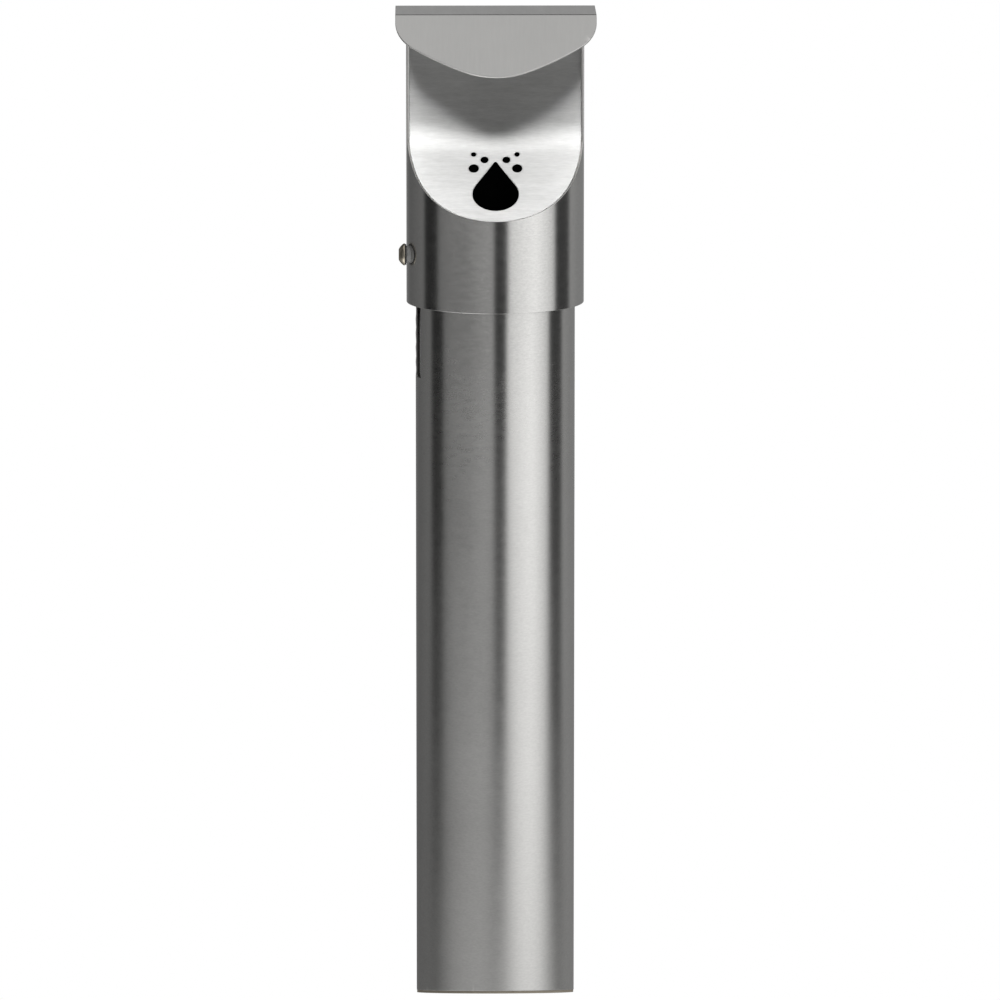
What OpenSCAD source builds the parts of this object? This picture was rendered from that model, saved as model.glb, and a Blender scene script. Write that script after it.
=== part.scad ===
// Wall-mounted half-round receptacle for smoking ends, brushed stainless.
// A hooded head is screwed to the wall. A long canister slides up into its
// sleeve and is clamped by one captive security bolt in the left side.
// Frame: X to the right, front of the object faces -Y, wall plane is Y = 0,
// Z up. The origin is the centre of the four wall-fixing holes, on the wall.
// Heights in the sections below are counted from the lowest point.

/* [Overall] */
// Height from the lowest point to the top of the hood
total_h = 638.5; // [630:0.5:650]
// Outer diameter of the half-round canister
canister_d = 101.6; // [100:0.1:103]
// Outer diameter of the half-round head shell
head_d = 112.6; // [111.6:0.1:114]

/* [Sheet thickness] */
// Head, chute and hood sheet
head_t = 1.5; // [1:0.1:1.6]
// Canister sheet
can_t = 1.2; // [1:0.1:1.2]
// Wall plate
plate_t = 2; // [1.5:0.1:2.2]

/* [Head] */
// Height of the lower edge of the sleeve
sleeve_h = 450; // [440:1:455]
// Height of the cut front edge of the shell, at the centre
lip_h = 509; // [505:1:515]
// Radius of the concave cut, seen from the side
chute_r = 180; // [170:1:200]
// How far the chute plate is set in behind the cut edge
chute_inset = 2.5; // [1.5:0.1:3]
// Depth of the side flanks that run up to the hood
flank_d = 7; // [5:0.5:9]
// Radius of the bend between the chute and its upright rear flange
chute_bend_r = 30; // [20:1:40]
// Height of the top of the chute plate's rear flange
chute_top = 634; // [632:1:635]
// Radius of its clearance holes for the heads of the upper wall screws
head_clear_r = 6; // [5:0.5:7]

/* [Hood] */
// Width of the hood
hood_w = 125.8; // [122:0.2:130]
// Depth of the flat top, from the wall to the bend
hood_d = 50; // [46:1:54]
// Slope of the visor below horizontal
visor_angle = 45; // [40:1:50]
// Corner radius of the visor outline
visor_corner_r = 25; // [20:1:30]
// Straight length before the corner radius starts
visor_straight = 4.5; // [2:0.5:8]
// Radius of the long side arcs of the visor
visor_side_r = 170; // [150:5:200]
// Tangent of the side arc at the corner, in degrees
visor_a1 = 37; // [34:1:40]
// Tangent of the side arc at the nose, in degrees
visor_a2 = 24; // [16:0.5:25]
// Outer bend radius between top and visor
hood_bend_r = 3; // [2:0.5:4]

/* [Drop hole] */
// Radius of the round part of the drop-shaped hole
drop_r = 14.5; // [12:0.5:15]
// Distance of its centre up the plate from the lip
drop_pos = 27.5; // [26:0.5:30]
// Length from the centre to the tip
drop_len = 25.7; // [22:0.1:28]
// Radius of the tip
drop_tip_r = 1; // [0.8:0.1:1.5]
// Distance of the outer dots from the centre line
dot_x = 13.7; // [12:0.1:14.5]
// Distance of the inner dots from the centre line
dot_in_x = 6.9; // [6.5:0.1:8]

/* [Canister] */
// Height of the open rim of the canister
rim_h = 494; // [492:1:495]
// Gap between the canister's back and the wall
can_back = 2.5; // [2.4:0.1:2.8]
// Slope of the canister's underside, rising to the front
base_slope = 12.3; // [0:0.1:14]
// Width of the side slot
slot_w = 10.4; // [10.4:0.1:10.6]
// Height of the closed lower end of the slot
slot_h = 403; // [395:1:430]
// Thickness of the base pad
pad_t = 1.6; // [1.2:0.1:2]

/* [Lock] */
// Height of the bolt axis
lock_h = 481.8; // [478:0.1:484]
// Distance of the bolt axis from the wall
lock_u = 13; // [12.8:0.1:13.2]
// Shank radius of the bolt (M8)
bolt_r = 4; // [3.9:0.05:4]
// Running clearance on the bolt, radial
bolt_gap = 0.05; // [0.03:0.01:0.1]
// Radius of the button head
head_r_bolt = 7; // [6.5:0.1:7]
// Height of the button head
head_k = 4; // [3.5:0.1:4.4]
// Thickness of the flat washer under the head
washer_t = 0.78; // [0.5:0.02:0.78]

/* [Wall fixing] */
// Radius of the four plain fixing holes
fix_r = 3.25; // [2.5:0.05:3.5]
// Spacing of the holes across
fix_x = 44; // [40:1:48]
// Spacing of the holes up the wall
fix_z = 198; // [190:1:200]
// Height of the lower pair of holes
fix_low = 418; // [412:1:420]
// Width of the tongue below the sleeve
tongue_w = 76; // [70:1:76]

/* [Hidden] */
$fn = 96;

steel = [0.74, 0.745, 0.75];
dark_steel = [0.6, 0.61, 0.62];
nylon = [0.16, 0.16, 0.17];
warm = [0.62, 0.58, 0.5];

sides = [-1, 1];             // left and right
gap = 0.05;                  // between neighbouring pieces
overlap = 0.06;              // between joined parts of one piece
fix_h = fix_low + fix_z / 2; // height of the origin

head_r = head_d / 2;
head_in_r = head_r - head_t;
head_fit_r = head_in_r - gap; // outside of what fits in the head
can_r = canister_d / 2;
can_in_r = can_r - can_t;
can_fit_r = can_in_r - gap;   // outside of what fits in the canister
shell_top = total_h - head_t - 0.02;

// canister floor, measured up from the sloping underside
floor_low = pad_t + 0.1;
floor_top = floor_low + 1.5;

// positions along the bolt, from the middle plane outwards
bolt_tip = 36;
groove_pos = 50.8;           // inner side of the groove for the retaining ring
groove_w = 0.6;
groove_r = 3.3;
bolt_head_pos = 57.2;        // inner face of the bolt head
washer_gap = 0.01;           // on each side of the washer
seat_pos = bolt_head_pos - washer_t - 2 * washer_gap; // outer face of the seat

// chute, side view: the cut and the plate share one arc centre
arc_offset = 152;            // arc centre, from the wall and above the lip
plate_r = chute_r + chute_inset;            // front surface of the plate
flange_y = -plate_t - gap - head_t;         // front face of the rear flange
bend_y = flange_y - chute_bend_r;           // centre of the bend
bend_drop = sqrt(pow(plate_r - chute_bend_r, 2) - pow(arc_offset + bend_y, 2));
bend_h = lip_h + arc_offset - bend_drop;
bend_angle = atan2(bend_drop, arc_offset + bend_y); // where bend meets arc
lip_angle = acos((arc_offset - head_fit_r) / plate_r);

// ---- Helpers ----

// moves a piece modelled in heights into the frame
module up(h) translate([0, 0, h - fix_h]) children();

// half disc in front of the wall, its straight side back mm off the wall
module half_disc(radius, back) intersection() {
    circle(radius);
    translate([-radius - 1, -radius - 1]) square([2 * radius + 2, radius + 1 - back]);
}

// rectangle centred on x, reaching up from y
module bar(x, y, width, height) translate([x - width / 2, y]) square([width, height]);

module ring(inner_r, outer_r) difference() {
    circle(outer_r);
    circle(inner_r);
}

// point at a distance and an angle, counted clockwise from +X
function ray(distance, angle) = [distance * cos(angle), -distance * sin(angle)];

// part of a ring between two angles, counted from +X towards the front
module ring_part(inner_r, outer_r, from, to) intersection() {
    ring(inner_r, outer_r);
    polygon([[0, 0], ray(2 * outer_r, from), ray(2 * outer_r, (from + to) / 2),
        ray(2 * outer_r, to)]);
}

// side-view shape (x = -depth, y = height) drawn out across X
module across(width) translate([-width / 2, 0, -fix_h])
    rotate([90, 0, 90]) linear_extrude(width) children();

// ---- Head ----

module wall_plate() {
    side_gap = 0.1;
    corner_r = 8;
    corner_h = fix_low - 14; // height of the tongue's corner centres
    color(dark_steel) translate([0, 0, -fix_h])
        rotate([90, 0, 0]) linear_extrude(plate_t) difference() {
            union() {
                bar(0, sleeve_h, 2 * (head_in_r - side_gap), shell_top - sleeve_h);
                bar(0, corner_h, tongue_w, sleeve_h + 1 - corner_h);
                bar(0, corner_h - corner_r, tongue_w - 2 * corner_r, corner_r + 2);
                for (side = sides)
                    translate([side * (tongue_w / 2 - corner_r), corner_h])
                        circle(corner_r);
            }
            for (side = sides, h = [fix_low, fix_low + fix_z])
                translate([side * fix_x / 2, h]) circle(fix_r);
        }
}

// side-view origin at the centre of the cut and of the chute
module at_arc() translate([-arc_offset, lip_h + arc_offset]) children();

module head_shell() color(steel) difference() {
    up(sleeve_h) linear_extrude(shell_top - sleeve_h) difference() {
        half_disc(head_r, 0);
        circle(head_in_r);
    }
    // concave front cut, behind it the flanks run straight up
    across(2 * head_r + 10) difference() {
        at_arc() circle(chute_r);
        translate([-flank_d, lip_h]) square([flank_d + 300, 400]);
    }
    at_bolt(45) bolt_bore(20);
}

// point frame on the chute's front surface, distance mm up the plate from the lip
module on_chute(distance, x) {
    angle = lip_angle - distance / plate_r * 180 / PI;
    translate([x, -(arc_offset - plate_r * cos(angle)),
        lip_h + arc_offset - plate_r * sin(angle) - fix_h])
        rotate([90 - angle, 0, 0]) children();
}

function arc_points(centre, radius, from, to, steps) = [for (i = [0:steps])
    let (angle = from + i * (to - from) / steps)
        centre + radius * [cos(angle), sin(angle)]];

// drop outline: arc of the big circle, then the tip arc, joined by tangents
module drop_shape() {
    tip_y = drop_len - drop_tip_r;
    taper = asin((drop_r - drop_tip_r) / tip_y);
    polygon(concat(
        arc_points([0, 0], drop_r, 180 - taper, 360 + taper, 48),
        arc_points([0, tip_y], drop_tip_r, taper, 180 - taper, 8)));
}

// pairs of round holes: distance up the plate, distance from centre line, radius
dots = [
    [58.8, dot_x, 1.65],
    [54.7, dot_in_x, 2.45],
    [48.2, dot_x, 3.2]];

// main arc, from below the lip up to the bend
module chute_arc() intersection() {
    overlap_angle = 0.08;
    at_arc() ring(plate_r, plate_r + head_t);
    at_arc() polygon([[0, 0], ray(400, bend_angle - overlap_angle), ray(400, 66)]);
}

// bend that leads into the upright flange
module chute_bend() translate([bend_y, bend_h]) intersection() {
    ring(chute_bend_r, chute_bend_r + head_t);
    polygon([[0, 0], [200, 0], [200, -200 * tan(bend_angle / 2)], ray(200, bend_angle)]);
}

module chute_plate() color(steel) difference() {
    intersection() {
        across(2 * head_r) union() {
            chute_arc();
            chute_bend();
            translate([flange_y, bend_h - overlap])
                square([head_t, chute_top - bend_h + overlap]);
        }
        up(lip_h - 30) cylinder(r = head_fit_r, h = 200);
    }
    on_chute(drop_pos, 0) translate([0, 0, -6]) linear_extrude(12) drop_shape();
    for (side = sides) {
        translate([side * fix_x / 2, 0, fix_z / 2])
            rotate([90, 0, 0]) cylinder(r = head_clear_r, h = 10);
        for (dot = dots)
            on_chute(dot[0], side * dot[1])
                translate([0, 0, -5]) cylinder(r = dot[2], h = 8);
    }
}

// ---- Hood ----

// visor outline from three tangent arcs; y runs down the slope,
// angles are counted from +y towards +x
function heading(angle) = [sin(angle), cos(angle)];
function visor_arc(centre, radius, angles) =
    [for (angle = angles) centre + radius * heading(angle)];

corner_centre = [hood_w / 2 - visor_corner_r, visor_straight];
side_centre = corner_centre + (visor_corner_r - visor_side_r) * heading(visor_a1);
nose_start = side_centre + visor_side_r * heading(visor_a2);
nose_r = nose_start[0] / sin(visor_a2);
nose_centre = [0, nose_start[1] - nose_r * cos(visor_a2)];
half_outline = concat(
    visor_arc(corner_centre, visor_corner_r, [90:-5:visor_a1 + 1]),
    visor_arc(side_centre, visor_side_r, [visor_a1:-1.25:visor_a2 + 0.5]),
    visor_arc(nose_centre, nose_r, [for (i = [0:8]) visor_a2 * (1 - i / 8)]));
visor_outline = concat(
    [[hood_w / 2, -overlap]],
    half_outline,
    [for (i = [len(half_outline) - 2:-1:0]) [-half_outline[i][0], half_outline[i][1]]],
    [[-hood_w / 2, -overlap]]);

module canopy() color(steel) union() {
    up(total_h - head_t) translate([-hood_w / 2, -hood_d, 0])
        cube([hood_w, hood_d, head_t]);
    // bend between the top and the visor
    across(hood_w) translate([-hood_d, total_h - hood_bend_r]) intersection() {
        ring(hood_bend_r - head_t, hood_bend_r);
        polygon(concat([[0, 0]],
            [for (angle = [0, visor_angle / 2, visor_angle])
                10 * [-sin(angle), cos(angle)]]));
    }
    // visor
    translate([0, -hood_d - hood_bend_r * sin(visor_angle),
        total_h - hood_bend_r + hood_bend_r * cos(visor_angle) - fix_h])
        rotate([180 + visor_angle, 0, 0]) linear_extrude(head_t)
            polygon(visor_outline);
}

// ---- Guides and lock ----

// bolt frame: local z runs outwards (to the left) along the bolt,
// starting out mm from the middle plane
module at_bolt(out = 0) translate([0, -lock_u, lock_h - fix_h])
    rotate([0, -90, 0]) translate([0, 0, out]) children();

module bolt_bore(length) cylinder(r = bolt_r + bolt_gap, h = length);

// upright cylinder on the canister's axis, centred on the bolt's height
module lock_cylinder(radius) up(lock_h - 20) cylinder(r = radius, h = 40);

// box centred on the bolt axis, its left side 50 from the middle plane
module lock_box(size) up(lock_h - size[2] / 2)
    translate([-50, -lock_u - size[1] / 2, 0]) cube(size);

// part of the ring between canister and head
module guide(from, to) ring_part(can_r + 0.2, head_fit_r, from, to);

module guide_strips() color(nylon) up(sleeve_h + 6) linear_extrude(33) {
    guide(82, 98);
    guide(3.2, 27);
}

module lock_block() {
    block_h = 36;
    clip_room_r = 5.8;
    color(nylon) difference() {
        up(lock_h - block_h / 2) linear_extrude(block_h) guide(153, 176.8);
        at_bolt(40) cylinder(r = clip_room_r, h = 20);
    }
}

// saddle-shaped seat that gives the bolt head a flat face on the round shell
module bolt_seat() {
    seat_start = 50;
    color(steel) difference() {
        at_bolt(seat_start) cylinder(r = 5.6, h = seat_pos - seat_start);
        lock_cylinder(head_r + 0.03);
        at_bolt(49) bolt_bore(10);
    }
}

module lock_washer() color(nylon) at_bolt(seat_pos + washer_gap) difference() {
    cylinder(r = 6.6, h = washer_t);
    translate([0, 0, -1]) bolt_bore(4);
}

module lock_bolt() {
    dome_r = 8.2;
    dome_z = -3.57;     // dome centre, from the inner face of the head
    chamfer = 0.7;
    socket_floor = 1.6; // above the inner face of the head
    socket_r = 2.9;
    pin_r = 1.1;
    shank_start = bolt_tip + chamfer;
    color(warm) at_bolt() difference() {
        union() {
            translate([0, 0, bolt_head_pos]) rotate_extrude() intersection() {
                translate([0, dome_z]) circle(dome_r);
                square([head_r_bolt, head_k]);
            }
            translate([0, 0, shank_start])
                cylinder(r = bolt_r, h = bolt_head_pos + 0.1 - shank_start);
            translate([0, 0, bolt_tip])
                cylinder(r1 = bolt_r - chamfer, r2 = bolt_r, h = chamfer);
        }
        // socket with a centre pin
        translate([0, 0, bolt_head_pos + socket_floor]) difference() {
            cylinder(r = socket_r, h = 5, $fn = 6);
            translate([0, 0, -1]) cylinder(r = pin_r, h = 3);
        }
        // groove for the retaining ring
        translate([0, 0, groove_pos]) difference() {
            cylinder(r = 6, h = groove_w);
            translate([0, 0, -1]) cylinder(r = groove_r, h = 3);
        }
    }
}

// retaining ring in the bolt's groove, open at the top
module bolt_clip() {
    clip_t = 0.5;
    clip_r = 5.4;
    opening = 4;
    color(dark_steel) at_bolt(groove_pos + (groove_w - clip_t) / 2)
        linear_extrude(clip_t) difference() {
            circle(clip_r);
            circle(groove_r + gap);
            translate([0, -opening / 2]) square([8, opening]);
        }
}

module clamp_saddle() color(dark_steel) difference() {
    union() {
        intersection() {
            lock_box([7, 12.8, 24]);
            lock_cylinder(can_in_r - 0.1);
        }
        // square boss that stands in the slot and stops the nut turning
        intersection() {
            lock_box([5, 10, 16]);
            lock_cylinder(can_r - gap);
        }
    }
    at_bolt(40) bolt_bore(20);
}

module clamp_nut() {
    nut_start = 36.5;
    nut_flats = 13; // across flats
    nut_t = 6.48;
    color(dark_steel) at_bolt(nut_start) difference() {
        cylinder(r = nut_flats / 2 / cos(30), h = nut_t, $fn = 6);
        translate([0, 0, -1]) bolt_bore(10);
    }
}

// ---- Canister ----

// everything below the sloping underside raised by offset_h
module below_base(offset_h) up(offset_h) translate([0, -can_back, 0])
    rotate([-base_slope, 0, 0]) translate([-100, -100, -100]) cube([200, 200, 100]);

// upright blank that reaches past the sloping base at both ends
module base_blank() up(-10) linear_extrude(60) children();

module canister_shell() {
    lip_x = 45; // centre of the inturned back lips
    lip_w = 12;
    color(steel) difference() {
        up(0) linear_extrude(rim_h) {
            difference() {
                half_disc(can_r, can_back);
                circle(can_in_r);
            }
            intersection() {
                circle(can_in_r + 0.2);
                for (side = sides) bar(side * lip_x, -can_back - can_t, lip_w, can_t);
            }
        }
        up(slot_h) translate([-60, -lock_u - slot_w / 2, 0]) cube([20, slot_w, 200]);
        below_base(pad_t + gap);
    }
}

// panel set forward of two side strips, joined to them by webs
module canister_back() {
    strip_x = 40.7; // centre of each side strip
    strip_w = 14.6;
    strip_y = -can_back - 2 * can_t - gap;
    web_x = 34;
    panel_y = -7.7;
    color(dark_steel) difference() {
        up(0) linear_extrude(rim_h - 4) {
            for (side = sides) {
                bar(side * strip_x, strip_y, strip_w, can_t);
                bar(side * web_x, panel_y, can_t, strip_y + can_t - panel_y);
            }
            bar(0, panel_y, 2 * web_x, can_t);
        }
        below_base(floor_top + 0.2);
    }
}

module canister_floor() color(dark_steel) union() {
    difference() {
        intersection() {
            base_blank() half_disc(can_fit_r, can_back + can_t + gap);
            below_base(floor_top);
        }
        below_base(floor_low);
    }
    // upturned rim along the round side
    difference() {
        intersection() {
            base_blank() difference() {
                half_disc(can_fit_r, 9);
                circle(can_fit_r - can_t);
            }
            below_base(14);
        }
        below_base(floor_top - 0.1);
    }
}

module base_pad() {
    inset = 0.4;
    color(warm) difference() {
        intersection() {
            base_blank() half_disc(can_r - inset, can_back + inset);
            below_base(pad_t);
        }
        below_base(0);
    }
}

// two upright round-ended pads between the canister and the wall
module back_pads() {
    pad_x = 44.5;
    pad_h = 38;     // height of the centre
    end_r = 4;
    end_offset = 9; // end centres, above and below the pad's centre
    color(nylon) for (side = sides)
        translate([side * pad_x, 0, pad_h - fix_h]) rotate([90, 0, 0])
            linear_extrude(can_back - 0.03) {
                for (end = [-1, 1]) translate([0, end * end_offset]) circle(end_r);
                bar(0, -end_offset, 2 * end_r, 2 * end_offset);
            }
}

wall_plate();
head_shell();
chute_plate();
canopy();
guide_strips();
lock_block();
bolt_seat();
lock_washer();
lock_bolt();
bolt_clip();
clamp_saddle();
clamp_nut();
canister_shell();
canister_back();
canister_floor();
base_pad();
back_pads();
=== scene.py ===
"""Wall-mounted ash canister: a round head with a hood and a snuffing plate, over a half-round
canister that a side bolt locks in place.

+Z is up, the wall is the plane y = 0 and the front faces -Y, so -X is on the viewer's left.
Pieces are drawn in mm, with heights from the lowest point; meshes are in metres. Sheet pieces
are flat outlines (u, v) laid on a rolled or bent surface.
"""

import math

import bmesh
import bpy
import numpy as np
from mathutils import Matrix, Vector, geometry


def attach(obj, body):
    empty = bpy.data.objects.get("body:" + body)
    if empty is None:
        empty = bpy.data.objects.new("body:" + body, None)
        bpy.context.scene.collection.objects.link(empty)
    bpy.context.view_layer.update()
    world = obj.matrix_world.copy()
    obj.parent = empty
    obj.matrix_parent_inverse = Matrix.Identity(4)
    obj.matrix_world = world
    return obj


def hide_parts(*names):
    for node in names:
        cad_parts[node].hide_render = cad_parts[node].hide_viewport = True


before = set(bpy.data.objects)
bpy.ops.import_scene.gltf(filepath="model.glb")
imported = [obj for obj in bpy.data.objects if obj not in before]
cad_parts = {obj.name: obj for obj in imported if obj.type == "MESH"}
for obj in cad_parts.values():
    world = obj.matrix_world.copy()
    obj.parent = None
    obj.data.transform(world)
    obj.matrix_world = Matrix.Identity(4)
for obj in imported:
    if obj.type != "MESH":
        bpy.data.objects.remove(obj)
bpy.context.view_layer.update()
scene = bpy.context.scene
rad = math.radians

# ------------------------------------------------------------------ shared dimensions, mm
MM = 0.001                       # metres in a millimetre
ORIGIN_HEIGHT = 517.0            # the frame's origin above the lowest point

HEAD_RADIUS = 56.3
HEAD_SHEET = 1.5                 # sheet thickness of hood, head shell and snuffing plate
HEAD_FOOT = 450.0
HOOD_TOP = 638.5
HEAD_TOP = HOOD_TOP - HEAD_SHEET - 0.02      # just under the hood

ARC_Y, ARC_HEIGHT = -152.0, 661.0            # shared centre of front cut and snuffing plate
CUT_RADIUS = 180.0
PLATE_RADIUS = 182.5

BOLT_Y, BOLT_HEIGHT = -13.0, 481.8           # axis of the lock bolt, which runs along X
SCREW_X, SCREW_LOW, SCREW_HIGH = 22.0, 418, 616


# ------------------------------------------------------------------ outlines
def line(a, b, step):
    """Points from a towards b, without b."""
    n = max(1, int(round(math.dist(a, b) / step)))
    return [(a[0] + (b[0] - a[0]) * i / n, a[1] + (b[1] - a[1]) * i / n) for i in range(n)]


def arc(x, y, radius, angles):
    return [(x + radius * math.cos(a), y + radius * math.sin(a)) for a in angles]


def bow(x, y, radius, angles):
    """Arc with its angles measured from +v towards +u."""
    return [(x + radius * math.sin(a), y + radius * math.cos(a)) for a in angles]


def circle(x, y, radius, count):
    return arc(x, y, radius, [2 * math.pi * i / count for i in range(count)])


def mirrored(points):
    """The points in reverse order on the other side of u = 0."""
    return [(-x, y) for x, y in points[::-1]]


def rounded(corners, step):
    """Closed outline through (x, y, radius) corners."""
    arcs = []
    n = len(corners)
    for i, (x, y, radius) in enumerate(corners):
        corner = Vector((x, y))
        before = (Vector(corners[i - 1][:2]) - corner).normalized()
        after = (Vector(corners[(i + 1) % n][:2]) - corner).normalized()
        half = math.acos(max(-1, min(1, before.dot(after)))) / 2
        reach = radius / math.tan(half)
        centre = corner + (before + after).normalized() * (radius / math.sin(half))
        first = corner + before * reach - centre
        last = corner + after * reach - centre
        start = math.atan2(first.y, first.x)
        turn = (math.atan2(last.y, last.x) - start + math.pi) % (2 * math.pi) - math.pi
        count = max(3, int(abs(turn) * radius / min(step, 0.8 + radius * 0.1)) + 1)
        angles = [start + turn * j / count for j in range(count + 1)]
        arcs.append([centre + Vector((math.cos(a), math.sin(a))) * radius for a in angles])
    points = []
    for i, part in enumerate(arcs):
        points += [tuple(p) for p in part[:-1]]
        points += line(tuple(part[-1]), tuple(arcs[(i + 1) % n][0]), step)
    return points


def wound(loop, ccw):
    """The loop as an array, running counter-clockwise or clockwise."""
    p = np.array(loop, float)
    q = np.roll(p, -1, 0)
    area = float(np.sum(p[:, 0] * q[:, 1] - q[:, 0] * p[:, 1])) / 2
    return p if (area > 0) == ccw else p[::-1]


def mitre(loop):
    """At each point, the vector that moves it one unit into the material on the left."""
    before = loop - np.roll(loop, 1, 0)
    after = np.roll(loop, -1, 0) - loop
    before /= np.linalg.norm(before, axis=1)[:, None]
    after /= np.linalg.norm(after, axis=1)[:, None]
    n1 = np.stack([-before[:, 1], before[:, 0]], 1)
    n2 = np.stack([-after[:, 1], after[:, 0]], 1)
    return (n1 + n2) / np.maximum(1 + (n1 * n2).sum(1), 0.25)[:, None]


def inside(points, loop):
    x, y = points[:, 0], points[:, 1]
    odd = np.zeros(len(points), bool)
    for (x0, y0), (x1, y1) in zip(loop, np.roll(loop, -1, 0)):
        if y0 != y1:
            odd ^= ((y0 > y) != (y1 > y)) & (x < (x1 - x0) * (y - y0) / (y1 - y0) + x0)
    return odd


def in_material(points, loops):
    """Inside the first loop and outside the others."""
    found = inside(points, loops[0])
    for hole in loops[1:]:
        found &= ~inside(points, hole)
    return found


# ------------------------------------------------------------------ surfaces
class Path:
    """Plane curve of (length, curvature) parts. side picks the side its normals point to."""

    def __init__(self, start, heading, parts, side=-1):
        self.side, self.parts = side, []
        point, u = np.array(start, float), 0.0
        for length, curvature in parts:
            self.parts.append((u, point.copy(), heading, curvature))
            point = self._at(point, heading, curvature, np.array([length]))[0][0]
            heading += curvature * length
            u += length
        self.length = u
        self.knots = [part[0] for part in self.parts] + [u]

    @staticmethod
    def _at(start, heading, curvature, u):
        h = heading + curvature * u
        if curvature == 0:
            return start + np.stack([np.cos(h), np.sin(h)], 1) * u[:, None], h
        offset = np.stack([np.sin(h) - math.sin(heading), math.cos(heading) - np.cos(h)], 1)
        return start + offset / curvature, h

    def __call__(self, u):
        """Points, tangents and normals at the lengths u; the end parts run on past the ends."""
        u = np.asarray(u, float)
        points, h = np.zeros((len(u), 2)), np.zeros(len(u))
        starts = [-math.inf] + self.knots[1:-1] + [math.inf]
        for i, (u0, start, heading, curvature) in enumerate(self.parts):
            mask = (u >= starts[i]) & (u < starts[i + 1])
            if mask.any():
                points[mask], h[mask] = self._at(start, heading, curvature, u[mask] - u0)
        tangents = np.stack([np.cos(h), np.sin(h)], 1)
        normals = np.stack([tangents[:, 1], -tangents[:, 0]], 1) * (-self.side)
        return points, tangents, normals


# Each surface turns (u, v) rows into points, normals, u directions and v directions.
def upright(path):
    """Sheet rolled about the vertical: u runs along the plan path, v is the height."""
    def surface(uv):
        q, t, n = path(uv[:, 0])
        z = np.zeros(len(uv))
        return (np.column_stack([q, uv[:, 1] - ORIGIN_HEIGHT]), np.column_stack([n, z]),
                np.column_stack([t, z]), np.column_stack([z, z, z + 1]))
    return surface


def crosswise(path):
    """Sheet bent about lines across X: u is x, v runs along the path in (Y, height)."""
    def surface(uv):
        q, t, n = path(uv[:, 1])
        z = np.zeros(len(uv))
        return (np.column_stack([uv[:, 0], q[:, 0], q[:, 1] - ORIGIN_HEIGHT]),
                np.column_stack([z, n]), np.column_stack([z + 1, z, z]),
                np.column_stack([z, t]))
    return surface


def flat_front(y):
    """Flat sheet facing the front: u is x, v is the height."""
    def surface(uv):
        z = np.zeros(len(uv))
        return (np.column_stack([uv[:, 0], z + y, uv[:, 1] - ORIGIN_HEIGHT]),
                np.column_stack([z, z - 1, z]), np.column_stack([z + 1, z, z]),
                np.column_stack([z, z, z + 1]))
    return surface


# ------------------------------------------------------------------ mesh builders
def linked(name, data):
    obj = bpy.data.objects.new(name, data)
    scene.collection.objects.link(obj)
    return obj


def flat_face(loops, inward, edge, grid, rows):
    """Points and counter-clockwise triangles of the face; the loops' points come first."""
    rims = [loop + move * edge for loop, move in zip(loops, inward)]
    borders, start = [], 0
    for rim in rims:
        n = len(rim)
        borders += [(start + i, start + (i + 1) % n) for i in range(n)]
        start += n
    low, high = loops[0].min(0), loops[0].max(0)
    us, vs = [np.linspace(low[k], high[k], max(2, int((high[k] - low[k]) / grid[k])) + 1)
              for k in (0, 1)]
    if rows:
        vs = [v for v in vs if min(abs(v - r) for r in rows) > grid[1] * 0.4] + rows
    fill = np.array([(u, v) for v in vs for u in us])
    margin = min(grid[0] * 0.45, 1.2) + edge
    keep = in_material(fill, [loop + move * margin for loop, move in zip(loops, inward)])
    points = np.concatenate(rims + [fill[keep]])

    _, _, polygons, origins, _, _ = geometry.delaunay_2d_cdt(
        [Vector(p) for p in points.tolist()], borders, [], 0, 1e-6)
    source = [origin[0] if origin else -1 for origin in origins]
    tris = np.array([[source[i] for i in polygon] for polygon in polygons])
    tris = tris[(tris >= 0).all(1)]
    tris = tris[in_material(points[tris].mean(1), rims)]
    a, b, c = points[tris[:, 0]], points[tris[:, 1]], points[tris[:, 2]]
    clockwise = ((b - a)[:, 0] * (c - a)[:, 1] - (b - a)[:, 1] * (c - a)[:, 0]) < 0
    tris[clockwise] = tris[clockwise][:, ::-1]
    return points, tris


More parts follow.
